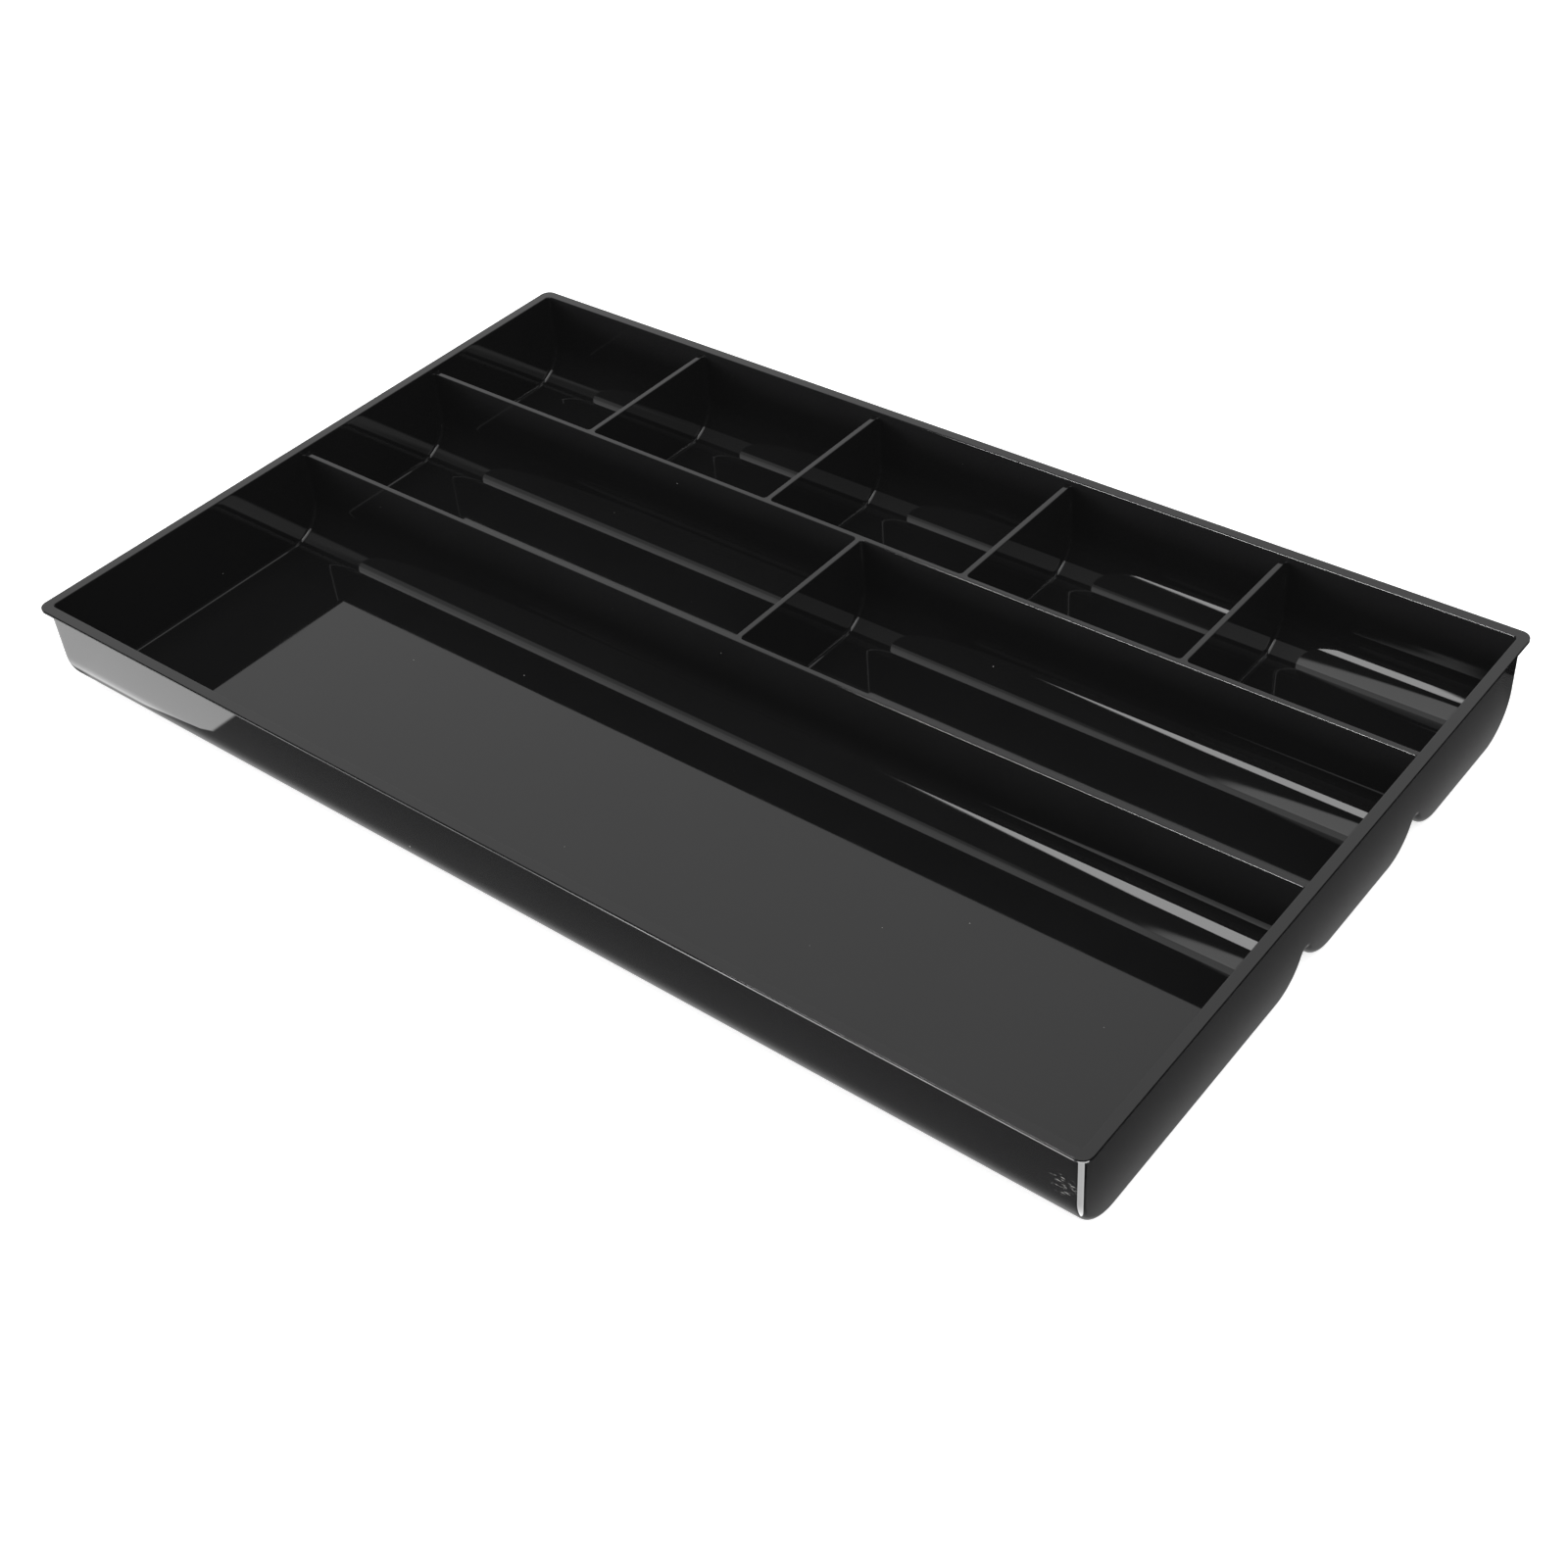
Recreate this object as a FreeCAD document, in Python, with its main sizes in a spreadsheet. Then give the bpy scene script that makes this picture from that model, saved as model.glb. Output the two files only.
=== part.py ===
import FreeCAD, Part
import math
import os
import Sketcher
from FreeCAD import Placement, Rotation, Vector

# Drawer organizer insert: one thin-walled tray with eight compartments in three rows.
# X runs along the long side, Y from front to back, Z up. The origin is the middle of
# the underside. All sizes are in millimetres.
# The tray is a single moulding. Each region of it that has a name is its own sub-part,
# and neighbouring regions meet face to face without overlapping.

doc = FreeCAD.newDocument("drawer_organizer_insert")

# Driving sizes
sizes = [
    ("length", 400.0, "rim, left to right"),
    ("depth", 244.0, "rim, front to back"),
    ("height", 35.0, "underside of the floors to the top of the rim"),
    ("overhang", 2.3, "rim beyond the outer walls"),
    ("rim_thickness", 1.2, "height of the rim's edge"),
    ("rim_corner", 3.5, "radius of the rim's outer corners"),
    ("mouth_corner", 0.6, "radius of the rim's inner corners"),
    ("wall", 1.3, "thickness of the walls and floors"),
    ("divider", 2.0, "thickness of every divider"),
    ("divider_drop", 2.0, "divider tops below the top of the rim"),
    ("cove", 14.0, "inside radius between a floor and a long wall or divider"),
    ("notch", 1.2, "radius at the top of the groove under a long divider"),
    ("end_rounding", 1.0, "rounding of each end wall's outer edge"),
    ("front_divider_at", -7.95, "Y of the front long divider's middle"),
    ("rear_divider_at", 56.6, "Y of the rear long divider's middle"),
    ("cross_spacing", 79.6, "spacing of the cross dividers in the rear row"),
]

dims = doc.addObject("Spreadsheet::Sheet", "dims")
for row, (alias, number, meaning) in enumerate(sizes, start=1):
    dims.set("A%d" % row, alias.replace("_", " "))
    dims.set("B%d" % row, str(number))
    dims.set("C%d" % row, meaning)
    dims.setAlias("B%d" % row, alias)
doc.recompute()

# Sizes that follow from the driving ones, written once and used in many expressions
WALL_X = "(dims.length / 2 - dims.overhang)"
WALL_Y = "(dims.depth / 2 - dims.overhang)"
INSIDE_X = "(dims.length / 2 - dims.overhang - dims.wall)"
INSIDE_Y = "(dims.depth / 2 - dims.overhang - dims.wall)"
RIM_UNDER = "(dims.height - dims.rim_thickness)"
DIVIDER_TOP = "(dims.height - dims.divider_drop)"
OUTER = "(dims.cove + dims.wall)"
REACH = "(dims.cove + dims.divider / 2)"
NOTCH_MIDDLE = "(%s - sqrt((%s + dims.notch)^2 - %s^2))" % (OUTER, OUTER, REACH)
NOTCH_TOP = "(%s + dims.notch)" % NOTCH_MIDDLE
NOTCH_SHARE = "(dims.notch / (%s + dims.notch))" % OUTER
NOTCH_SIDE = "(%s * %s)" % (REACH, NOTCH_SHARE)
NOTCH_FOOT = "(%s + (%s - %s) * %s)" % (NOTCH_MIDDLE, OUTER, NOTCH_MIDDLE, NOTCH_SHARE)

parts = []


def value(text):
    """The number that an expression gives with the present sizes."""
    result = dims.evalExpression(text)
    return float(getattr(result, "Value", result))


def place(part, x="0", y="0", z="0", turn=0.0):
    """Put a sub-part at x, y, z, turned about Z, and keep it there by expression."""
    where = Vector(value(x), value(y), value(z))
    part.Placement = Placement(where, Rotation(Vector(0, 0, 1), turn))
    for axis, text in (("x", x), ("y", y), ("z", z)):
        if text != "0":
            part.setExpression("Placement.Base.%s" % axis, text)


def block(name, length, width, height, x, y, z):
    """A plain box with its low corner at x, y, z."""
    box = doc.addObject("Part::Box", name)
    box.Label = name
    for size, text in (("Length", length), ("Width", width), ("Height", height)):
        box.setExpression(size, text)
    place(box, x, y, z)
    parts.append(box)
    return box


def closed_outline(sketch, corners):
    """Draw a closed outline and tie every corner to the sizes.

    Each corner is (across, up, arc). The side that leaves the corner is straight when
    arc is None. Otherwise arc is (radius, middle across, middle up, anticlockwise).
    """
    spots = [Vector(value(across), value(up), 0) for across, up, arc in corners]
    ends = []
    for index, (across, up, arc) in enumerate(corners):
        start = spots[index]
        stop = spots[(index + 1) % len(spots)]
        if arc is None:
            number = sketch.addGeometry(Part.LineSegment(start, stop), False)
            ends.append((number, 1, 2))
            continue
        radius, middle_across, middle_up, anticlockwise = arc
        middle = Vector(value(middle_across), value(middle_up), 0)
        low, high = (start, stop) if anticlockwise else (stop, start)
        low_angle = math.atan2(low.y - middle.y, low.x - middle.x)
        high_angle = math.atan2(high.y - middle.y, high.x - middle.x)
        if high_angle < low_angle:
            high_angle += 2 * math.pi
        circle = Part.Circle(middle, Vector(0, 0, 1), value(radius))
        number = sketch.addGeometry(Part.ArcOfCircle(circle, low_angle, high_angle), False)
        ends.append((number, 1, 2) if anticlockwise else (number, 2, 1))
    for index, (number, start_end, stop_end) in enumerate(ends):
        following, following_start, unused = ends[(index + 1) % len(ends)]
        sketch.addConstraint(
            Sketcher.Constraint("Coincident", number, stop_end, following, following_start)
        )
    for index, (across, up, arc) in enumerate(corners):
        number, start_end, stop_end = ends[index]
        for kind, text, axis in (("DistanceX", across, -2), ("DistanceY", up, -1)):
            if text == "0":
                sketch.addConstraint(
                    Sketcher.Constraint("PointOnObject", number, start_end, axis)
                )
                continue
            tie = sketch.addConstraint(
                Sketcher.Constraint(kind, number, start_end, value(text))
            )
            sketch.setExpression("Constraints[%d]" % tie, text)
        if arc is not None:
            tie = sketch.addConstraint(Sketcher.Constraint("Radius", number, value(arc[0])))
            sketch.setExpression("Constraints[%d]" % tie, arc[0])


def origin_plane(body, role):
    """The body's own origin plane with this role."""
    for feature in body.Origin.OriginFeatures:
        if feature.Role == role:
            return feature
    raise ValueError("no plane %s in %s" % (role, body.Name))


def padded(name, plane, outlines, thickness, both_ways):
    """A body with one sketch on an origin plane and one pad of that sketch."""
    body = doc.addObject("PartDesign::Body", name)
    body.Label = name
    sketch = body.newObject("Sketcher::SketchObject", name + "_outline")
    sketch.AttachmentSupport = [(origin_plane(body, plane), "")]
    sketch.MapMode = "FlatFace"
    doc.recompute()
    for corners in outlines:
        closed_outline(sketch, corners)
    pad = body.newObject("PartDesign::Pad", name + "_pad")
    pad.Profile = sketch
    pad.Midplane = both_ways
    pad.setExpression("Length", thickness)
    sketch.Visibility = False
    doc.recompute()
    parts.append(body)
    return body


# Rim: a flat ring around the mouth, wider than the walls under it
def rounded_rectangle(half_x, half_y, radius):
    """Corners of a rectangle about the origin with four equal corner arcs."""
    near_x = "(%s - %s)" % (half_x, radius)
    near_y = "(%s - %s)" % (half_y, radius)
    left = "(-1 * %s)" % half_x
    front = "(-1 * %s)" % half_y
    near_left = "(-1 * %s)" % near_x
    near_front = "(-1 * %s)" % near_y
    return [
        (near_left, front, None),
        (near_x, front, (radius, near_x, near_front, True)),
        (half_x, near_front, None),
        (half_x, near_y, (radius, near_x, near_y, True)),
        (near_x, half_y, None),
        (near_left, half_y, (radius, near_left, near_y, True)),
        (left, near_y, None),
        (left, near_front, (radius, near_left, near_front, True)),
    ]


rim = padded(
    "rim_flange",
    "XY_Plane",
    [
        rounded_rectangle("(dims.length / 2)", "(dims.depth / 2)", "dims.rim_corner"),
        rounded_rectangle(INSIDE_X, INSIDE_Y, "dims.mouth_corner"),
    ],
    "dims.rim_thickness",
    False,
)
place(rim, z=RIM_UNDER)

# Front and back walls: straight bands between the coves and the rim
for name, y in (("front_wall", "(-1 * %s)" % WALL_Y), ("back_wall", INSIDE_Y)):
    block(
        name,
        "2 * " + INSIDE_X,
        "dims.wall",
        "(%s - %s)" % (RIM_UNDER, OUTER),
        "(-1 * %s)" % INSIDE_X,
        y,
        OUTER,
    )

# Rows, front to back: name, Y of the inner face in front, Y of the inner face behind,
# then what closes the row on each side
FRONT_FACE_1 = "(dims.front_divider_at - dims.divider / 2)"
BACK_FACE_1 = "(dims.front_divider_at + dims.divider / 2)"
FRONT_FACE_2 = "(dims.rear_divider_at - dims.divider / 2)"
BACK_FACE_2 = "(dims.rear_divider_at + dims.divider / 2)"
rows = [
    ("front_row", "(-1 * %s)" % INSIDE_Y, FRONT_FACE_1, "wall", "divider"),
    ("middle_row", BACK_FACE_1, FRONT_FACE_2, "divider", "divider"),
    ("rear_row", BACK_FACE_2, INSIDE_Y, "divider", "wall"),
]

# Cove sections, drawn about the arc's own middle with the wall or divider towards +Y
cove_by_wall = [
    ("dims.cove", "0", ("dims.cove", "0", "0", False)),
    ("0", "(-1 * dims.cove)", None),
    ("0", "(-1 * %s)" % OUTER, (OUTER, "0", "0", True)),
    (OUTER, "0", None),
]
cove_by_divider = [
    ("dims.cove", "0", ("dims.cove", "0", "0", False)),
    ("0", "(-1 * dims.cove)", None),
    ("0", "(-1 * %s)" % OUTER, (OUTER, "0", "0", True)),
    (
        "(%s - %s)" % (REACH, NOTCH_SIDE),
        "(%s - %s)" % (NOTCH_FOOT, OUTER),
        ("dims.notch", REACH, "(%s - %s)" % (NOTCH_MIDDLE, OUTER), False),
    ),
    (REACH, "(%s - %s)" % (NOTCH_TOP, OUTER), None),
    (REACH, "0", None),
]
sections = {"wall": cove_by_wall, "divider": cove_by_divider}

for name, face_in_front, face_behind, in_front, behind in rows:
    block(
        name + "_floor",
        "2 * " + INSIDE_X,
        "(%s - %s - 2 * dims.cove)" % (face_behind, face_in_front),
        "dims.wall",
        "(-1 * %s)" % INSIDE_X,
        "(%s + dims.cove)" % face_in_front,
        "0",
    )
    front_cove = padded(
        name + "_front_cove", "YZ_Plane", [sections[in_front]], "2 * " + INSIDE_X, True
    )
    place(front_cove, y="(%s + dims.cove)" % face_in_front, z=OUTER, turn=180.0)
    rear_cove = padded(
        name + "_rear_cove", "YZ_Plane", [sections[behind]], "2 * " + INSIDE_X, True
    )
    place(rear_cove, y="(%s - dims.cove)" % face_behind, z=OUTER)

# Long dividers: flat webs from the coves up to just under the rim's top
for name, face in (("front_long_divider", FRONT_FACE_1), ("rear_long_divider", FRONT_FACE_2)):
    block(
        name,
        "2 * " + INSIDE_X,
        "dims.divider",
        "(%s - %s)" % (DIVIDER_TOP, OUTER),
        "(-1 * %s)" % INSIDE_X,
        face,
        OUTER,
    )


# End walls: plates whose lower edge follows the three rows
def groove(middle):
    """Corners of the underside where two rows meet below a long divider."""
    before = "(%s - %s)" % (middle, REACH)
    after = "(%s + %s)" % (middle, REACH)
    return [
        (before, "0", (OUTER, before, OUTER, True)),
        (
            "(%s - %s)" % (middle, NOTCH_SIDE),
            NOTCH_FOOT,
            ("dims.notch", middle, NOTCH_MIDDLE, False),
        ),
        ("(%s + %s)" % (middle, NOTCH_SIDE), NOTCH_FOOT, (OUTER, after, OUTER, True)),
        (after, "0", None),
    ]


front_middle = "(%s - %s)" % (OUTER, WALL_Y)
back_middle = "(%s - %s)" % (WALL_Y, OUTER)
end_outline = (
    [
        ("(-1 * %s)" % WALL_Y, OUTER, (OUTER, front_middle, OUTER, True)),
        (front_middle, "0", None),
    ]
    + groove("dims.front_divider_at")
    + groove("dims.rear_divider_at")
    + [
        (back_middle, "0", (OUTER, back_middle, OUTER, True)),
        (WALL_Y, OUTER, None),
        (WALL_Y, RIM_UNDER, None),
        ("(-1 * %s)" % WALL_Y, RIM_UNDER, None),
    ]
)


def round_outer_edge(body, outer_face_x):
    """Round the outer edge of an end wall everywhere except along the rim."""
    pad = body.Tip
    top = value(RIM_UNDER)
    chosen = []
    for index, edge in enumerate(pad.Shape.Edges, start=1):
        box = edge.BoundBox
        on_face = abs(box.XMin - outer_face_x) < 0.001 and abs(box.XMax - outer_face_x) < 0.001
        if on_face and box.ZMin < top - 0.001:
            chosen.append("Edge%d" % index)
    rounding = body.newObject("PartDesign::Fillet", body.Name + "_rounding")
    rounding.Base = (pad, chosen)
    rounding.setExpression("Radius", "dims.end_rounding")
    doc.recompute()


left_end = padded("left_end_wall", "YZ_Plane", [end_outline], "dims.wall", False)
round_outer_edge(left_end, 0.0)
place(left_end, x="(-1 * %s)" % WALL_X)
right_end = padded("right_end_wall", "YZ_Plane", [end_outline], "dims.wall", False)
round_outer_edge(right_end, value("dims.wall"))
place(right_end, x=INSIDE_X)


# Cross dividers: plates that fill a row's section above its floor
def cross_outline(face_in_front, face_behind):
    """Corners of a cross divider: straight sides and two arcs along the coves."""
    front_of_floor = "(%s + dims.cove)" % face_in_front
    back_of_floor = "(%s - dims.cove)" % face_behind
    return [
        (face_in_front, OUTER, ("dims.cove", front_of_floor, OUTER, True)),
        (front_of_floor, "dims.wall", None),
        (back_of_floor, "dims.wall", ("dims.cove", back_of_floor, OUTER, True)),
        (face_behind, OUTER, None),
        (face_behind, DIVIDER_TOP, None),
        (face_in_front, DIVIDER_TOP, None),
    ]


middle_outline = cross_outline(BACK_FACE_1, FRONT_FACE_2)
padded("middle_cross_divider", "YZ_Plane", [middle_outline], "dims.divider", True)

rear_outline = cross_outline(BACK_FACE_2, INSIDE_Y)
for number, steps in enumerate((-1.5, -0.5, 0.5, 1.5), start=1):
    name = "rear_cross_divider_%d" % number
    plate = padded(name, "YZ_Plane", [rear_outline], "dims.divider", True)
    place(plate, x="(%s * dims.cross_spacing)" % steps)

doc.recompute()

# Every object must be sound before any file is written
for thing in doc.Objects:
    if "Invalid" in thing.State or "Error" in thing.State:
        raise RuntimeError("%s is not sound: %s" % (thing.Name, thing.State))
for part in parts:
    if part.Shape.isNull() or not part.Shape.isValid() or not part.Shape.Solids:
        raise RuntimeError("%s has no valid solid" % part.Label)

os.makedirs("parts", exist_ok=True)
for part in parts:
    part.Shape.exportStep("parts/%s.step" % part.Label)
    print("%-24s volume %8.0f mm3" % (part.Label, part.Shape.Volume))
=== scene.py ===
import math
from collections import namedtuple

import bmesh
import bpy
from mathutils import Matrix, Vector


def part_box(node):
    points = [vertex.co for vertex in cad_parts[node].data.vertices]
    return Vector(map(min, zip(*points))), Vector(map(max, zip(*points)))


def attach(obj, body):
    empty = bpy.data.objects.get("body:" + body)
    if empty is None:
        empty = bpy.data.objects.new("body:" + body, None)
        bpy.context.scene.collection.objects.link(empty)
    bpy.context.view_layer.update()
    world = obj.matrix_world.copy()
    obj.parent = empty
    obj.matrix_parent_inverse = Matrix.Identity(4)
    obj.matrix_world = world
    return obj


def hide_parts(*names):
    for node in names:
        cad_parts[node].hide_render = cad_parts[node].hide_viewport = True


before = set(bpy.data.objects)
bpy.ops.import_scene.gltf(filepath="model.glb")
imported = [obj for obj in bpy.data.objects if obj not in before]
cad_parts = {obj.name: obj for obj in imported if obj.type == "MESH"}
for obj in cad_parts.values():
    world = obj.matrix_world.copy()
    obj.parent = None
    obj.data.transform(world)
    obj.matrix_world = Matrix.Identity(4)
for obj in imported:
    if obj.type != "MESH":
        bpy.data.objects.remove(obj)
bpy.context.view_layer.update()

# The scene shows a glossy black drawer organizer tray in three rows of compartments.
# The tray is one moulding, so it is built once as a whole solid and then divided
# into one piece for each CAD part. Lengths are in metres.
MM = 0.001

# Roundings that the moulding has, and how finely each curve is divided.
COVE_STEPS = 24
OUTER_ROUNDING = 2.0 * MM
OUTER_STEPS = 6
JUNCTION_FILLET = 1.2 * MM
FILLET_STEPS = 5
DIVIDER_EDGE = 0.35 * MM
RIM_EDGE = 0.12 * MM
RIM_UNDER_EDGE = 0.15 * MM
RIM_INNER_EDGE = 0.4 * MM
EDGE_STEPS = 5
RIM_CORNER = 3.5 * MM
RIM_CORNER_STEPS = 14
GROOVE_RADIUS = 1.2 * MM
GROOVE_STEPS = 10

# How far beyond a curve the moulding is divided, so that seams fall on flat plastic.
SEAM_OFFSET = 2.0 * MM
WALL_SEAM_MARGIN = 0.3 * MM
RIM_SEAM_DROP = 0.5 * MM

# How much of a cross divider stays with the walls and the floor, as a rim of fillets.
STUB_HEIGHT = 1.4 * MM

# How far a cutting solid runs past what it cuts, and how close vertices are merged.
OVERLAP = 0.6 * MM
MERGE_DISTANCE = 0.002 * MM

# CAD places are rounded to this many decimals, a micrometre.
DECIMALS = 6

# Faces that meet at less than this angle, in degrees, are shaded as one curve, and the
# larger faces decide how it is shaded.
SMOOTH_ANGLE = 35.0
LARGE_FACE_WEIGHT = 100

# The camera looks down on the tray from its front right corner.
CAMERA_TARGET = Vector((0.02954, -0.02470, 0.0))
CAMERA_AZIMUTH = 41.743
CAMERA_ELEVATION = 40.815
CAMERA_ROLL = 5.197
CAMERA_DISTANCE = 0.68604
CAMERA_LENS = 51.28
SENSOR_WIDTH = 36.0
CAMERA_CLIP = (0.01, 20.0)

Row = namedtuple("Row", "name front rear")
Hollow = namedtuple("Hollow", "row left right")


def low(name):
    """The lowest corner of a CAD node, free of float noise."""
    return Vector([round(value, DECIMALS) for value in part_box(name)[0]])


def high(name):
    """The highest corner of a CAD node, free of float noise."""
    return Vector([round(value, DECIMALS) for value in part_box(name)[1]])


# Places taken from the CAD parts.
RIM_LOW, RIM_HIGH = low("rim_flange"), high("rim_flange")
OUTER_LEFT, OUTER_RIGHT = low("left_end_wall").x, high("right_end_wall").x
INNER_LEFT, INNER_RIGHT = high("left_end_wall").x, low("right_end_wall").x
OUTER_FRONT, OUTER_REAR = low("front_wall").y, high("back_wall").y
INNER_FRONT, INNER_REAR = high("front_wall").y, low("back_wall").y
DIVIDER_TOP = high("front_long_divider").z
FLOOR_TOP = high("front_row_floor").z
COVE_RADIUS = round(low("front_row_floor").y - INNER_FRONT, DECIMALS)
OUTER_COVE_RADIUS = COVE_RADIUS + FLOOR_TOP
COVE_HEIGHT = FLOOR_TOP + COVE_RADIUS

ROWS = [
    Row("front_row", INNER_FRONT, low("front_long_divider").y),
    Row("middle_row", high("front_long_divider").y, low("rear_long_divider").y),
    Row("rear_row", high("rear_long_divider").y, INNER_REAR),
]
CROSS_DIVIDERS = {
    "front_row": [],
    "middle_row": ["middle_cross_divider"],
    "rear_row": ["rear_cross_divider_%d" % number for number in range(1, 5)],
}


# ---------------------------------------------------------------- mesh helpers

def as_piece(name, mesh):
    """A mesh placed in the scene."""
    piece = bpy.data.objects.new(name, mesh)
    bpy.context.scene.collection.objects.link(piece)
    return piece


def new_piece(name, builder):
    """A mesh object from a finished bmesh, its faces turned outward."""
    bmesh.ops.recalc_face_normals(builder, faces=builder.faces)
    mesh = bpy.data.meshes.new(name)
    builder.to_mesh(mesh)
    builder.free()
    return as_piece(name, mesh)


def discard(*pieces):
    """Removes helper solids once they have done their work."""
    for piece in pieces:
        mesh = piece.data
        bpy.data.objects.remove(piece)
        bpy.data.meshes.remove(mesh)


def combined(base, tool, operation, name):
    """A new solid from two: their DIFFERENCE, INTERSECT or UNION."""
    modifier = base.modifiers.new("combine", "BOOLEAN")
    modifier.operation = operation
    modifier.solver = "EXACT"
    modifier.object = tool
    graph = bpy.context.evaluated_depsgraph_get()
    mesh = bpy.data.meshes.new_from_object(base.evaluated_get(graph))
    base.modifiers.remove(modifier)
    mesh.name = name
    builder = bmesh.new()
    builder.from_mesh(mesh)
    bmesh.ops.remove_doubles(builder, verts=builder.verts, dist=MERGE_DISTANCE)
    builder.to_mesh(mesh)
    builder.free()
    return as_piece(name, mesh)


def stitch(builder, first, second):
    """Faces between two loops of the same number of vertices."""
    count = len(first)
    for index in range(count):
        after = (index + 1) % count
        builder.faces.new((first[index], first[after], second[after], second[index]))


def loft(builder, rings):
    """A closed solid through rings of points, with a flat face at each end."""
    loops = [[builder.verts.new(point) for point in ring] for ring in rings]
    for first, second in zip(loops, loops[1:]):
        stitch(builder, first, second)
    builder.faces.new(loops[0])
    builder.faces.new(loops[-1])


def block(name, lowest, highest):
    """A box used only to divide the moulding."""
    corners = [(lowest[0], lowest[1]), (highest[0], lowest[1])]
    corners += [(highest[0], highest[1]), (lowest[0], highest[1])]
    builder = bmesh.new()
    loft(builder, [[(x, y, z) for x, y in corners] for z in (lowest[2], highest[2])])
    return new_piece(name, builder)


# ------------------------------------------------------------ outlines of the tray

def quarter(steps):
    """(1 - cosine, 1 - sine) along a quarter turn: how far a rounding has run in and out."""
    angles = [0.5 * math.pi * step / steps for step in range(steps + 1)]
    return [(1.0 - math.cos(angle), 1.0 - math.sin(angle)) for angle in angles]


def arc(centre, radius, start, end, steps):
    """(y, z) points along an arc, between two angles in degrees."""
    angles = [math.radians(start + (end - start) * step / steps) for step in range(steps + 1)]
    return [(centre[0] + radius * math.cos(a), centre[1] + radius * math.sin(a)) for a in angles]


def hollow_outline(row, inset):
    """The U across one row between the tops of its coves, drawn inside the surface by inset."""
    radius = COVE_RADIUS - inset
    front = arc((row.front + COVE_RADIUS, COVE_HEIGHT), radius, 180, 270, COVE_STEPS)
    rear = arc((row.rear - COVE_RADIUS, COVE_HEIGHT), radius, 270, 360, COVE_STEPS)
    return front + rear


def outer_outline(inset):
    """The outside of the tray across its rows: a lobe under each row, grooves between."""
    lobe = OUTER_COVE_RADIUS - inset
    top = 0.5 * (RIM_LOW.z + RIM_HIGH.z)
    reach = OUTER_COVE_RADIUS + GROOVE_RADIUS
    gap = 0.5 * (ROWS[1].front - ROWS[0].rear)
    tilt = math.degrees(math.acos((COVE_RADIUS + gap) / reach))
    groove_height = COVE_HEIGHT - reach * math.sin(math.radians(tilt))
    points = [(OUTER_FRONT + inset, top)]
    for number, row in enumerate(ROWS):
        front_centre = (row.front + COVE_RADIUS, COVE_HEIGHT)
        rear_centre = (row.rear - COVE_RADIUS, COVE_HEIGHT)
        front_tilt = 0 if number == 0 else tilt
        rear_tilt = 0 if number == len(ROWS) - 1 else tilt
        points += arc(front_centre, lobe, 180 + front_tilt, 270, COVE_STEPS)
        points += arc(rear_centre, lobe, 270, 360 - rear_tilt, COVE_STEPS)
        if rear_tilt:
            centre = (row.rear + gap, groove_height)
            groove = arc(centre, GROOVE_RADIUS + inset, 180 - tilt, tilt, GROOVE_STEPS)
            points += groove[1:-1]
    points.append((OUTER_REAR - inset, top))
    return points


def plan_loop(left, right, front, rear, radius, steps, grow=(0.0, 0.0, 0.0, 0.0)):
    """A rounded rectangle seen from above. grow moves its left, right, front and rear sides out."""
    turn = [0.5 * math.pi * step / steps for step in range(steps + 1)]
    back = turn[::-1]
    to_left, to_right, to_front, to_rear = [radius + side for side in grow]
    corners = [
        (left + radius, front + radius, -to_left, -to_front, turn),
        (right - radius, front + radius, to_right, -to_front, back),
        (right - radius, rear - radius, to_right, to_rear, turn),
        (left + radius, rear - radius, -to_left, to_rear, back),
    ]
    points = []
    for x, y, across, along, angles in corners:
        points += [(x + across * math.cos(a), y + along * math.sin(a)) for a in angles]
    return points


# ------------------------------------------------------------- the whole moulding

def outer_body():
    """The outside below the rim, with its two ends rounded."""
    turn = quarter(OUTER_STEPS)
    stations = [(OUTER_LEFT + OUTER_ROUNDING * run, OUTER_ROUNDING * rest) for run, rest in turn]
    stations += [(-x, inset) for x, inset in reversed(stations)]
    rings = [[(x, y, z) for y, z in outer_outline(inset)] for x, inset in stations]
    builder = bmesh.new()
    loft(builder, rings)
    return new_piece("outer_body", builder)


def rim_slab():
    """The rim before its middle is opened, with softened edges."""
    rings = []
    turn = quarter(EDGE_STEPS)
    levels = [(RIM_LOW.z + RIM_UNDER_EDGE * run, RIM_UNDER_EDGE * rest) for run, rest in turn]
    levels += [(RIM_HIGH.z - RIM_EDGE * run, RIM_EDGE * rest) for run, rest in reversed(turn)]
    for z, inset in levels:
        sides = (RIM_LOW.x, RIM_HIGH.x, RIM_LOW.y, RIM_HIGH.y)
        loop = plan_loop(*sides, RIM_CORNER, RIM_CORNER_STEPS, (-inset,) * 4)
        rings.append([(x, y, z) for x, y in loop])
    builder = bmesh.new()
    loft(builder, rings)
    return new_piece("rim_slab", builder)


def opening():
    """What is open above the dividers, out to the walls, with the rim's inner edge softened."""
    levels = [(DIVIDER_TOP, 0.0)]
    for run, rest in quarter(EDGE_STEPS):
        levels.append((RIM_HIGH.z - RIM_INNER_EDGE * rest, RIM_INNER_EDGE * run))
    levels.append((RIM_HIGH.z + OVERLAP, RIM_INNER_EDGE))
    rings = []
    for z, flare in levels:
        sides = (INNER_LEFT, INNER_RIGHT, INNER_FRONT, INNER_REAR)
        loop = plan_loop(*sides, JUNCTION_FILLET, FILLET_STEPS, (flare,) * 4)
        rings.append([(x, y, z) for x, y in loop])
    builder = bmesh.new()
    loft(builder, rings)
    return new_piece("opening", builder)


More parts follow.
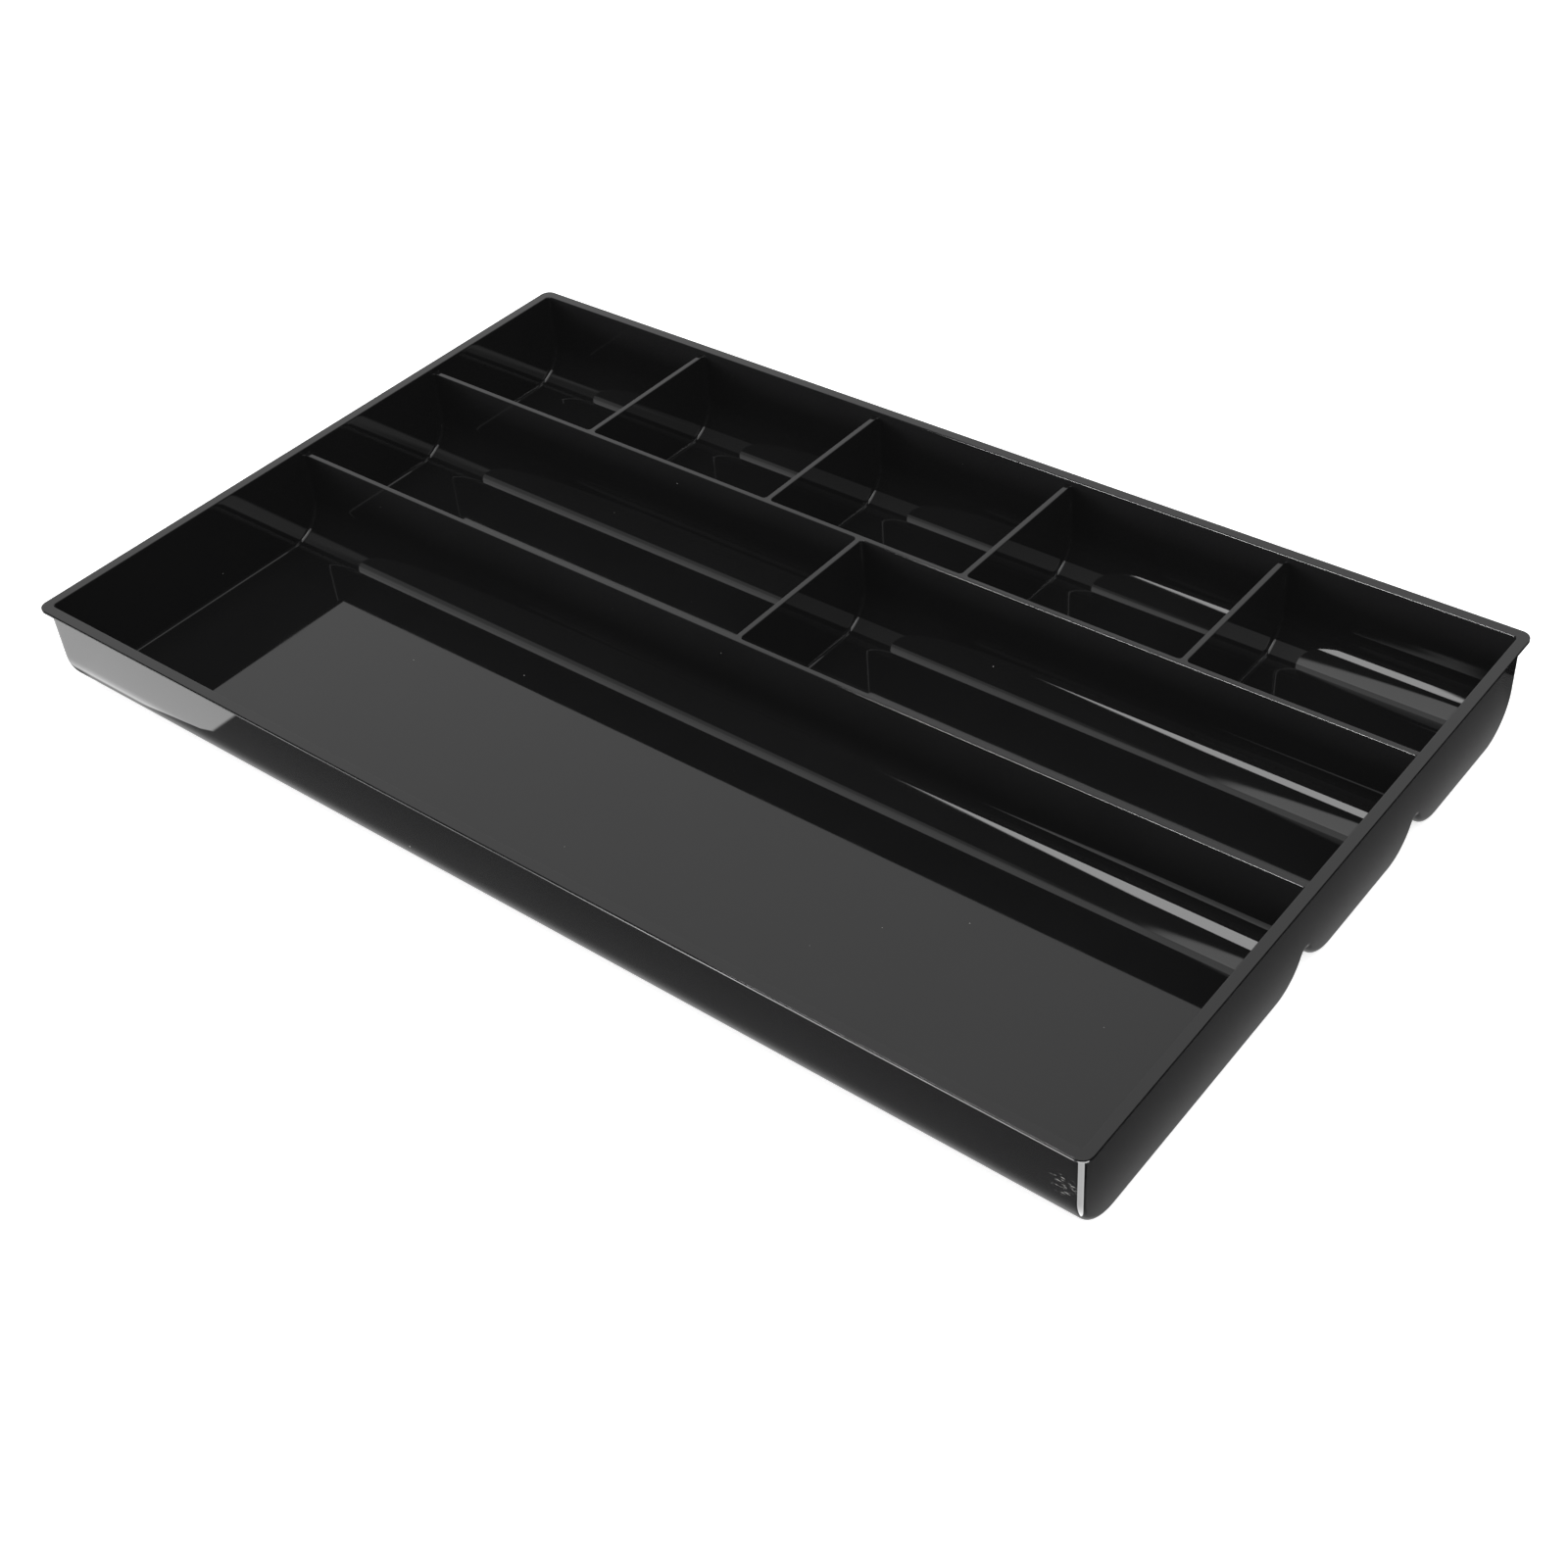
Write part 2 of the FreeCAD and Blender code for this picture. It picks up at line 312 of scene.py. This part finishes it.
def mouth_edges(hollow):
    """Which of a compartment's left, right, front and rear sides is a divider with a soft edge."""
    return (
        hollow.left > INNER_LEFT,
        hollow.right < INNER_RIGHT,
        hollow.row.front > INNER_FRONT,
        hollow.row.rear < INNER_REAR,
    )


def add_mouth(builder, hollow, mouth):
    """Closes a compartment's air with a flat top, flared over each soft divider edge."""
    sides = (hollow.left, hollow.right, hollow.row.front, hollow.row.rear)
    for run, rest in quarter(EDGE_STEPS):
        grow = tuple(DIVIDER_EDGE * run if edge else 0.0 for edge in mouth_edges(hollow))
        loop = plan_loop(*sides, JUNCTION_FILLET, FILLET_STEPS, grow)
        above = [builder.verts.new((x, y, DIVIDER_TOP - DIVIDER_EDGE * rest)) for x, y in loop]
        stitch(builder, mouth, above)
        mouth = above
    builder.faces.new(mouth)


def add_hollow(builder, hollow):
    """One compartment's air: a U-shaped trough, filleted where it meets its ends."""
    turn = quarter(FILLET_STEPS)
    ends = [(JUNCTION_FILLET * run, JUNCTION_FILLET * rest) for run, rest in turn]
    stations = [(hollow.left + run, inset) for run, inset in ends]
    stations += [(hollow.right - run, inset) for run, inset in reversed(ends)]
    rings = []
    for x, inset in stations:
        outline = hollow_outline(hollow.row, inset)
        rings.append([builder.verts.new((x, y, z)) for y, z in outline])
    for first, second in zip(rings, rings[1:]):
        for index in range(len(first) - 1):
            corners = (first[index], first[index + 1], second[index + 1], second[index])
            builder.faces.new(corners)
    builder.faces.new(rings[0])
    builder.faces.new(rings[-1])
    mouth = [ring[0] for ring in rings] + [ring[-1] for ring in reversed(rings)]
    add_mouth(builder, hollow, mouth)


def hollows():
    """Every compartment, from the left to the right of each row."""
    found = []
    for row in ROWS:
        left = INNER_LEFT
        for name in CROSS_DIVIDERS[row.name]:
            found.append(Hollow(row, left, low(name).x))
            left = high(name).x
        found.append(Hollow(row, left, INNER_RIGHT))
    return found


def whole_tray():
    """The complete moulding as one closed solid."""
    body, slab = outer_body(), rim_slab()
    solid = combined(body, slab, "UNION", "solid")
    builder = bmesh.new()
    for hollow in hollows():
        add_hollow(builder, hollow)
    air = new_piece("air", builder)
    hollowed = combined(solid, air, "DIFFERENCE", "hollowed")
    mouth = opening()
    tray = combined(hollowed, mouth, "DIFFERENCE", "tray")
    discard(body, slab, solid, air, hollowed, mouth)
    return tray


# ------------------------------------------------- one piece for each CAD part

def divider_cutter(name, row):
    """The room round one cross divider, clear of the fillets at its foot and sides."""
    margin = 2 * STUB_HEIGHT
    outline = hollow_outline(row, STUB_HEIGHT)
    outline.insert(0, (row.front + STUB_HEIGHT, RIM_HIGH.z + OVERLAP))
    outline.append((row.rear - STUB_HEIGHT, RIM_HIGH.z + OVERLAP))
    builder = bmesh.new()
    places = (low(name).x - margin, high(name).x + margin)
    loft(builder, [[(x, y, z) for y, z in outline] for x in places])
    return new_piece(name + "_cutter", builder)


def take_cross_dividers(tray):
    """The cross dividers as pieces, and the tray without them."""
    pieces = {}
    for row in ROWS:
        for name in CROSS_DIVIDERS[row.name]:
            cutter = divider_cutter(name, row)
            pieces[name] = combined(tray, cutter, "INTERSECT", name)
            smaller = combined(tray, cutter, "DIFFERENCE", "tray")
            discard(tray, cutter)
            tray = smaller
    return tray, pieces


def regions():
    """The box of the moulding that stands for each remaining CAD part."""
    wall_seam = JUNCTION_FILLET + WALL_SEAM_MARGIN
    left, right = INNER_LEFT + wall_seam, INNER_RIGHT - wall_seam
    front, rear = INNER_FRONT + wall_seam, INNER_REAR - wall_seam
    out_x, out_y, under = 2 * RIM_HIGH.x, 2 * RIM_HIGH.y, -OVERLAP
    rim_seam, cove_seam = RIM_LOW.z - RIM_SEAM_DROP, COVE_HEIGHT + SEAM_OFFSET
    over = 2 * RIM_HIGH.z
    boxes = {
        "left_end_wall": ((-out_x, -out_y, under), (left, out_y, rim_seam)),
        "right_end_wall": ((right, -out_y, under), (out_x, out_y, rim_seam)),
        "front_wall": ((left, -out_y, cove_seam), (right, front, rim_seam)),
        "back_wall": ((left, rear, cove_seam), (right, out_y, rim_seam)),
    }
    for name in ("front_long_divider", "rear_long_divider"):
        near, far = low(name).y - 2 * STUB_HEIGHT, high(name).y + 2 * STUB_HEIGHT
        boxes[name] = ((left, near, cove_seam), (right, far, over))
    middles = [0.5 * (low(name).y + high(name).y)
               for name in ("front_long_divider", "rear_long_divider")]
    limits = [-out_y, *middles, out_y]
    for row, start, end in zip(ROWS, limits, limits[1:]):
        near = row.front + COVE_RADIUS + SEAM_OFFSET
        far = row.rear - COVE_RADIUS - SEAM_OFFSET
        boxes[row.name + "_front_cove"] = ((left, start, under), (right, near, cove_seam))
        boxes[row.name + "_floor"] = ((left, near, under), (right, far, cove_seam))
        boxes[row.name + "_rear_cove"] = ((left, far, under), (right, end, cove_seam))
    rim = ((-out_x, -out_y, rim_seam), (out_x, out_y, over))
    inside = ((left, front, 0.0), (right, rear, 2 * over))
    return boxes, rim, inside


def divided_tray():
    """Every visible piece of the moulding, by the name of the CAD part it stands for."""
    tray, pieces = take_cross_dividers(whole_tray())
    boxes, rim, inside = regions()
    for name, (lowest, highest) in boxes.items():
        cutter = block(name + "_cutter", lowest, highest)
        pieces[name] = combined(tray, cutter, "INTERSECT", name)
        discard(cutter)
    above, middle = block("above", *rim), block("middle", *inside)
    top = combined(tray, above, "INTERSECT", "top")
    pieces["rim_flange"] = combined(top, middle, "DIFFERENCE", "rim_flange")
    discard(above, middle, top, tray)
    return pieces


def smooth(piece):
    """Smooth shading that keeps flat faces flat and corners crisp."""
    mesh = piece.data
    mesh.shade_smooth()
    mesh.set_sharp_from_angle(angle=math.radians(SMOOTH_ANGLE))
    modifier = piece.modifiers.new("normals", "WEIGHTED_NORMAL")
    modifier.mode = "FACE_AREA"
    modifier.weight = LARGE_FACE_WEIGHT
    modifier.keep_sharp = True


# ------------------------------------------------------------------ materials

# The plastic: two blacks and two levels of gloss, mixed by a slow noise, and faint waves.
BLACKS = ((0.0060, 0.0060, 0.0062, 1.0), (0.0090, 0.0090, 0.0093, 1.0))
PLASTIC_ROUGHNESS = (0.025, 0.05)
PLASTIC_IOR = 1.55
TONE_SCALE = 40.0
TONE_SPREAD = (0.3, 0.7)
WAVE_SCALE = 45.0
WAVE_HEIGHT = 0.01 * MM

# A trace of painted light: the plastic itself glows faintly and evenly, like the veil of a camera
# lens on black.
PLASTIC_GLOW = 0.0028

# Dust and scuffs: their colour, and how much rougher they are than the plastic.
MARK_COLOUR = (0.30, 0.30, 0.29, 1.0)
MARK_ROUGHNESS = 0.5
DUST_SCALE = 60.0
DUST_SIZE = (0.010, 0.018)
SCUFF_PLACE = (0.1925, -0.1197, 0.020)
SCUFF_REACH = (2.0 * MM, 5.0 * MM)
SCUFF_TURN = math.radians(35.0)
SCUFF_STRETCH = (0.12, 1.0, 1.0)
SCUFF_SCALE = 2600.0
SCUFF_CUT = (0.58, 0.66)

FLOOR_COLOUR = (0.93, 0.93, 0.93, 1.0)
FLOOR_ROUGHNESS = 0.9
FLOOR_LIGHT = 0.75
WHITE = (1.0, 1.0, 1.0, 1.0)


def node(tree, kind, **values):
    """A shader node with its properties set."""
    made = tree.nodes.new(kind)
    for name, value in values.items():
        setattr(made, name, value)
    return made


def feed(tree, socket, value):
    """Connects a socket to a number or another node's output."""
    if isinstance(value, bpy.types.NodeSocket):
        tree.links.new(value, socket)
    else:
        socket.default_value = value


def math_node(tree, operation, first, second=0.0):
    """The output of one arithmetic step."""
    made = node(tree, "ShaderNodeMath", operation=operation)
    feed(tree, made.inputs[0], first)
    feed(tree, made.inputs[1], second)
    return made.outputs[0]


def ramp(tree, value, start, end, low_value=0.0, high_value=1.0):
    """A smooth change from one number to another as value goes from start to end."""
    made = node(tree, "ShaderNodeMapRange", interpolation_type="SMOOTHSTEP", clamp=True)
    for socket, number in zip(made.inputs, (value, start, end, low_value, high_value)):
        feed(tree, socket, number)
    return made.outputs[0]


def band(tree, value, start, end, softness):
    """1 while value is between start and end, falling to 0 on each side."""
    rise = ramp(tree, value, start - softness, start + softness)
    fall = ramp(tree, value, end - softness, end + softness, 1.0, 0.0)
    return math_node(tree, "MULTIPLY", rise, fall)


def product(tree, factors):
    """Several numbers multiplied together."""
    value = factors[0]
    for factor in factors[1:]:
        value = math_node(tree, "MULTIPLY", value, factor)
    return value


def coordinate(tree, kind):
    """The point being shaded, in a texture coordinate of one kind."""
    return node(tree, "ShaderNodeTexCoord").outputs[kind]


def split(tree, vector):
    """The x, y and z of a vector."""
    made = node(tree, "ShaderNodeSeparateXYZ")
    feed(tree, made.inputs[0], vector)
    return made.outputs


def noise(tree, place, scale, detail=2.0, roughness=0.5):
    """Fractal noise, in features per metre."""
    made = node(tree, "ShaderNodeTexNoise")
    feed(tree, made.inputs["Vector"], place)
    feed(tree, made.inputs["Scale"], scale)
    feed(tree, made.inputs["Detail"], detail)
    feed(tree, made.inputs["Roughness"], roughness)
    return made.outputs["Fac"]


def bump(tree, height, distance):
    """A surface normal tilted by a height pattern."""
    made = node(tree, "ShaderNodeBump")
    feed(tree, made.inputs["Height"], height)
    feed(tree, made.inputs["Distance"], distance)
    feed(tree, made.inputs["Strength"], 1.0)
    return made.outputs["Normal"]


def blend(tree, factor, first, second):
    """A colour between two."""
    made = node(tree, "ShaderNodeMix", data_type="RGBA")
    feed(tree, made.inputs["Factor"], factor)
    feed(tree, made.inputs["A"], first)
    feed(tree, made.inputs["B"], second)
    return made.outputs["Result"]


def dust(tree, place):
    """Where a few specks of dust lie, one in every 17 mm or so of space."""
    made = node(tree, "ShaderNodeTexVoronoi")
    feed(tree, made.inputs["Vector"], place)
    feed(tree, made.inputs["Scale"], DUST_SCALE)
    return ramp(tree, made.outputs["Distance"], *DUST_SIZE, 1.0, 0.0)


def scuffs(tree, place):
    """Faint scratches half-way up the front wall, near the front right corner."""
    offset = node(tree, "ShaderNodeVectorMath", operation="DISTANCE")
    feed(tree, offset.inputs[0], place)
    feed(tree, offset.inputs[1], SCUFF_PLACE)
    near = ramp(tree, offset.outputs["Value"], *SCUFF_REACH, 1.0, 0.0)
    turned = node(tree, "ShaderNodeMapping")
    feed(tree, turned.inputs["Vector"], place)
    feed(tree, turned.inputs["Rotation"], (0.0, SCUFF_TURN, 0.0))
    feed(tree, turned.inputs["Scale"], SCUFF_STRETCH)
    streaks = noise(tree, turned.outputs[0], SCUFF_SCALE, detail=3.0, roughness=0.6)
    return math_node(tree, "MULTIPLY", near, ramp(tree, streaks, *SCUFF_CUT))


def black_polystyrene():
    """Glossy black moulded plastic, with a little dust, a few scuffs and a faint painted glow."""
    material = bpy.data.materials.new("black_polystyrene")
    material.use_nodes = True
    tree = material.node_tree
    shader = tree.nodes["Principled BSDF"]
    place = coordinate(tree, "Object")
    tone = noise(tree, place, TONE_SCALE, detail=4.0)
    marks = math_node(tree, "MAXIMUM", dust(tree, place), scuffs(tree, place))
    gloss = ramp(tree, tone, *TONE_SPREAD, *PLASTIC_ROUGHNESS)
    dulled = math_node(tree, "MULTIPLY", marks, MARK_ROUGHNESS)
    feed(tree, shader.inputs["Roughness"], math_node(tree, "ADD", gloss, dulled))
    feed(tree, shader.inputs["IOR"], PLASTIC_IOR)
    clean = blend(tree, tone, *BLACKS)
    feed(tree, shader.inputs["Base Color"], blend(tree, marks, clean, MARK_COLOUR))
    # A faint painted glow of the plastic, which lifts its blacks evenly.
    feed(tree, shader.inputs["Emission Color"], WHITE)
    feed(tree, shader.inputs["Emission Strength"], PLASTIC_GLOW)
    waves = noise(tree, place, WAVE_SCALE, detail=1.0)
    feed(tree, shader.inputs["Normal"], bump(tree, waves, WAVE_HEIGHT))
    return material


def floor_material():
    """The plain pale floor."""
    material = bpy.data.materials.new("pale_floor")
    material.use_nodes = True
    tree = material.node_tree
    shader = tree.nodes["Principled BSDF"]
    feed(tree, shader.inputs["Base Color"], FLOOR_COLOUR)
    feed(tree, shader.inputs["Roughness"], FLOOR_ROUGHNESS)
    feed(tree, shader.inputs["Emission Color"], WHITE)
    feed(tree, shader.inputs["Emission Strength"], FLOOR_LIGHT)
    return material


# -------------------------------------------------------------------- the studio

# Soft lights round the tray. A band is (start, end, softness) in degrees of azimuth,
# 0 behind the tray and 90 to its right, or of elevation.
Light = namedtuple("Light", "azimuth elevation strength")
LIGHTS = {
    "paper_behind": Light((-82.0, 40.0, 9.0), (0.0, 78.0, 3.0), 1.0),
    "paper_at_left": Light((-100.0, -80.0, 2.0), (0.0, 66.0, 3.0), 0.45),
    "foot_of_strip": Light((-172.0, -150.5, 1.0), (-2.0, 9.0, 1.0), 55.0),
    "lamp_at_right": Light((84.0, 118.0, 3.0), (33.0, 47.0, 2.0), 4.8),
}

# The strip light in front, a tall band. Its left side leans in from an elevation of
# STRIP_LEAN_FROM, and both sides close in above the shoulder.
STRIP_LEFT, STRIP_RIGHT, STRIP_SOFTNESS = -151.9, -162.5, 0.6
STRIP_HEIGHT = (9.0, 41.0, 1.5)
STRIP_LEAN, STRIP_LEAN_FROM = 0.15, 12.0
STRIP_SHOULDER = 33.0
STRIP_LEFT_NARROWING, STRIP_RIGHT_NARROWING = 0.8, 0.5
STRIP_STRENGTH = 7.0

# The softbox overhead: a rectangle on a level plane one unit above the tray. Directions
# lower than LOWEST_SINE count as that low, so that nothing is divided by zero.
SOFTBOX_ACROSS = (-0.366, 0.9, 0.01)
SOFTBOX_ALONG = (-0.8, 0.05, 0.02)
SOFTBOX_STRENGTH = 2.0
LOWEST_SINE = 0.02
HORIZON = (-0.05, 0.05)

# What the room gives from below and from above, and between which heights it changes.
FILL_BELOW, FILL_ABOVE = 0.1, 0.05
FILL_CHANGE = (-0.2, 0.1)

# The floor that the camera sees, and under it the table that the gloss sees: a glowing sheet of
# painted light and painted shade.
FLOOR_HEIGHT, FLOOR_REACH = -0.05 * MM, 3.0
GLOW_HEIGHT, GLOW_REACH = -0.1 * MM, 1.0

# The table glows dimly as a painted shadow of the tray, with a paler painted glow beside the tray
# that thins out over these distances.
TABLE_SHADOW_STRENGTH = 0.07
MARGIN_GLOW_STRENGTH = 0.45
MARGIN_X, MARGIN_Y = 4.0 * MM, 7.0 * MM

# It is painted black from these distances on, a painted shade, which is what the edge of the rim
# reflects.
BLACK_FROM_X, BLACK_FROM_Y = 15.5 * MM, 25.0 * MM
BLACK_SOFTNESS = (0.95, 1.0)

# A painted pool of light lies on it beyond the left front corner. The right edge of that part runs
# straight to the front at LIT_EDGE_X, and slants to the left where it is close to the tray.
LIT_EDGE_X = -0.142
LIT_SLANT_X, LIT_SLANT_Y, LIT_SLOPE = -0.143, -0.131, -2.3
LIT_SOFTNESS = 1.0 * MM
LIT_FROM_Y = (-0.118, -0.122)
LIT_STRENGTH = 1.9

# The bright painted quarter disc that the near corner's rounding reflects as a painted glint.
GLINT_RADIUS = (32.5 * MM, 32.7 * MM)
GLINT_SIDE = (0.0, 1.0 * MM)
GLINT_STRENGTH = 6.0

# The thin bright painted line along the front of the rim, which it reflects as a painted highlight,
# brighter to the right.
LINE_AWAY = (25.5 * MM, 26.2 * MM, 0.05 * MM)
LINE_AHEAD = (0.0, -1.0 * MM)
LINE_BRIGHTENING = (-20.0 * MM, 60.0 * MM)
LINE_STRENGTH = (2.0, 6.0)


def strip_light(tree, azimuth, elevation):
    """The tall strip light in front."""
    lean = math_node(tree, "SUBTRACT", elevation, STRIP_LEAN_FROM)
    lean = math_node(tree, "MULTIPLY", lean, STRIP_LEAN)
    over = math_node(tree, "MAXIMUM", math_node(tree, "SUBTRACT", elevation, STRIP_SHOULDER), 0.0)
    to_left = math_node(tree, "MULTIPLY", over, STRIP_LEFT_NARROWING)
    to_left = math_node(tree, "ADD", math_node(tree, "ADD", azimuth, lean), to_left)
    to_right = math_node(tree, "MULTIPLY", over, STRIP_RIGHT_NARROWING)
    to_right = math_node(tree, "SUBTRACT", azimuth, to_right)
    left_edge = (STRIP_LEFT - STRIP_SOFTNESS, STRIP_LEFT + STRIP_SOFTNESS)
    right_edge = (STRIP_RIGHT - STRIP_SOFTNESS, STRIP_RIGHT + STRIP_SOFTNESS)
    in_from_left = ramp(tree, to_left, *left_edge, 1.0, 0.0)
    in_from_right = ramp(tree, to_right, *right_edge)
    tall = band(tree, elevation, *STRIP_HEIGHT)
    return product(tree, [STRIP_STRENGTH, in_from_right, in_from_left, tall])


def softbox(tree, x, y, z):
    """The softbox overhead."""
    height = math_node(tree, "MAXIMUM", z, LOWEST_SINE)
    across = band(tree, math_node(tree, "DIVIDE", x, height), *SOFTBOX_ACROSS)
    along = band(tree, math_node(tree, "DIVIDE", y, height), *SOFTBOX_ALONG)
    above = ramp(tree, z, *HORIZON)
    return product(tree, [SOFTBOX_STRENGTH, across, along, above])


def studio_world():
    """A pale studio round the tray. The camera itself sees plain white."""
    world = bpy.data.worlds.new("studio")
    bpy.context.scene.world = world
    world.use_nodes = True
    tree = world.node_tree
    tree.nodes.clear()
    x, y, z = split(tree, coordinate(tree, "Generated"))
    azimuth = math_node(tree, "DEGREES", math_node(tree, "ARCTAN2", x, y))
    elevation = math_node(tree, "DEGREES", math_node(tree, "ARCSINE", z))
    lights = [strip_light(tree, azimuth, elevation), softbox(tree, x, y, z)]
    for light in LIGHTS.values():
        around = band(tree, azimuth, *light.azimuth)
        high_up = band(tree, elevation, *light.elevation)
        lights.append(product(tree, [light.strength, around, high_up]))
    total = ramp(tree, z, *FILL_CHANGE, FILL_BELOW, FILL_ABOVE)
    for light in lights:
        total = math_node(tree, "ADD", total, light)
    lit = node(tree, "ShaderNodeBackground")
    feed(tree, lit.inputs["Strength"], total)
    plain = node(tree, "ShaderNodeBackground")
    feed(tree, plain.inputs["Color"], WHITE)
    feed(tree, plain.inputs["Strength"], 1.0)
    mix = node(tree, "ShaderNodeMixShader")
    feed(tree, mix.inputs[0], node(tree, "ShaderNodeLightPath").outputs["Is Camera Ray"])
    feed(tree, mix.inputs[1], lit.outputs[0])
    feed(tree, mix.inputs[2], plain.outputs[0])
    feed(tree, node(tree, "ShaderNodeOutputWorld").inputs["Surface"], mix.outputs[0])


def wide_sheet(name, reach, height, material):
    """A flat square far wider than the tray, which isn't part of it."""
    builder = bmesh.new()
    corners = [(-reach, -reach), (reach, -reach), (reach, reach), (-reach, reach)]
    builder.faces.new([builder.verts.new((x, y, height)) for x, y in corners])
    piece = new_piece(name, builder)
    piece.data.materials.append(material)
    return piece


def floor():
    """A wide pale floor under the tray. Gloss sees the table glow in its place."""
    piece = wide_sheet("floor", FLOOR_REACH, FLOOR_HEIGHT, floor_material())
    piece.visible_glossy = False


def painted_table_shadow(tree, beyond_x, beyond_y):
    """The table's dim grey, a painted shadow of the tray, with its paler painted glow beside the
    tray.
    """
    away_x = math_node(tree, "DIVIDE", math_node(tree, "MAXIMUM", beyond_x, 0.0), MARGIN_X)
    away_y = math_node(tree, "DIVIDE", math_node(tree, "MAXIMUM", beyond_y, 0.0), MARGIN_Y)
    away = math_node(tree, "MAXIMUM", away_x, away_y)
    margin = math_node(tree, "EXPONENT", math_node(tree, "MULTIPLY", away, -1.0))
    margin = math_node(tree, "MULTIPLY", margin, MARGIN_GLOW_STRENGTH)
    return math_node(tree, "ADD", margin, TABLE_SHADOW_STRENGTH)


def painted_light_pool(tree, x, y):
    """A painted pool of light on the table, beyond the left front corner."""
    slant = math_node(tree, "MULTIPLY", math_node(tree, "SUBTRACT", y, LIT_SLANT_Y), LIT_SLOPE)
    slant = math_node(tree, "ADD", slant, LIT_SLANT_X)
    past = math_node(tree, "SUBTRACT", x, math_node(tree, "MINIMUM", slant, LIT_EDGE_X))
    left = ramp(tree, past, -LIT_SOFTNESS, LIT_SOFTNESS, 1.0, 0.0)
    return product(tree, [LIT_STRENGTH, left, ramp(tree, y, *LIT_FROM_Y)])


def near_table(tree, x, beyond_y):
    """1 on the table near enough for the walls to reflect it, 0 where it is painted black."""
    far_x = math_node(tree, "DIVIDE", math_node(tree, "SUBTRACT", x, OUTER_RIGHT), BLACK_FROM_X)
    far_y = math_node(tree, "DIVIDE", beyond_y, BLACK_FROM_Y)
    return ramp(tree, math_node(tree, "MAXIMUM", far_x, far_y), *BLACK_SOFTNESS, 1.0, 0.0)


def painted_corner_glint(tree, x, y):
    """A painted glint: the bright quarter disc outside the near corner."""
    corner_x = math_node(tree, "SUBTRACT", x, OUTER_RIGHT - OUTER_ROUNDING)
    corner_y = math_node(tree, "SUBTRACT", OUTER_FRONT + OUTER_ROUNDING, y)
    joined = node(tree, "ShaderNodeCombineXYZ")
    feed(tree, joined.inputs[0], corner_x)
    feed(tree, joined.inputs[1], corner_y)
    radius = node(tree, "ShaderNodeVectorMath", operation="LENGTH")
    feed(tree, radius.inputs[0], joined.outputs[0])
    near = ramp(tree, radius.outputs["Value"], *GLINT_RADIUS, 1.0, 0.0)
    outside = ramp(tree, math_node(tree, "MINIMUM", corner_x, corner_y), *GLINT_SIDE)
    return product(tree, [GLINT_STRENGTH, near, outside])


def painted_rim_highlight(tree, x, y, beyond_y):
    """A painted highlight: the bright line ahead of the tray that the edge of the rim reflects."""
    thin = band(tree, beyond_y, *LINE_AWAY)
    ahead = ramp(tree, y, *LINE_AHEAD)
    return product(tree, [ramp(tree, x, *LINE_BRIGHTENING, *LINE_STRENGTH), thin, ahead])


def glow_material():
    """The table as the gloss sees it: painted shadow, painted light, a painted glint and a painted
    highlight, all as glow.
    """
    material = bpy.data.materials.new("table_glow")
    material.use_nodes = True
    tree = material.node_tree
    tree.nodes.clear()
    x, y, _ = split(tree, coordinate(tree, "Object"))
    beyond_x = math_node(tree, "SUBTRACT", math_node(tree, "ABSOLUTE", x), OUTER_RIGHT)
    beyond_y = math_node(tree, "SUBTRACT", math_node(tree, "ABSOLUTE", y), OUTER_REAR)
    table = math_node(tree, "ADD", painted_table_shadow(tree, beyond_x, beyond_y), painted_light_pool(tree, x, y))
    strength = math_node(tree, "MULTIPLY", table, near_table(tree, x, beyond_y))
    strength = math_node(tree, "ADD", strength, painted_corner_glint(tree, x, y))
    strength = math_node(tree, "ADD", strength, painted_rim_highlight(tree, x, y, beyond_y))
    light = node(tree, "ShaderNodeEmission")
    feed(tree, light.inputs["Strength"], strength)
    feed(tree, node(tree, "ShaderNodeOutputMaterial").inputs["Surface"], light.outputs[0])
    return material


def table_glow():
    """A glowing sheet of painted reflections, which the gloss of the outer walls reflects. The
    camera and the floor don't see it.
    """
    piece = wide_sheet("table_glow", GLOW_REACH, GLOW_HEIGHT, glow_material())
    piece.visible_camera = False
    piece.visible_diffuse = False
    piece.visible_shadow = False


def camera():
    """The camera, from its direction, distance, roll and lens."""
    azimuth, elevation = math.radians(CAMERA_AZIMUTH), math.radians(CAMERA_ELEVATION)
    back = Vector((
        math.sin(azimuth) * math.cos(elevation),
        -math.cos(azimuth) * math.cos(elevation),
        math.sin(elevation),
    ))
    level = Vector((0, 0, 1)).cross(back).normalized()
    upright = back.cross(level)
    roll = math.radians(CAMERA_ROLL)
    right = math.cos(roll) * level - math.sin(roll) * upright
    up = math.sin(roll) * level + math.cos(roll) * upright
    data = bpy.data.cameras.new("camera")
    data.sensor_width = SENSOR_WIDTH
    data.lens = CAMERA_LENS
    data.clip_start, data.clip_end = CAMERA_CLIP
    eye = bpy.data.objects.new("camera", data)
    turn = Matrix((right, up, back)).transposed().to_4x4()
    eye.matrix_world = Matrix.Translation(CAMERA_TARGET + CAMERA_DISTANCE * back) @ turn
    bpy.context.scene.collection.objects.link(eye)
    bpy.context.scene.camera = eye


plastic = black_polystyrene()
for piece_name, piece in divided_tray().items():
    smooth(piece)
    piece.name = piece_name + "_moulding"
    piece.data.materials.append(plastic)
    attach(piece, "root")
    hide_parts(piece_name)

camera()
studio_world()
floor()
table_glow()
bpy.context.scene.view_settings.view_transform = "Standard"
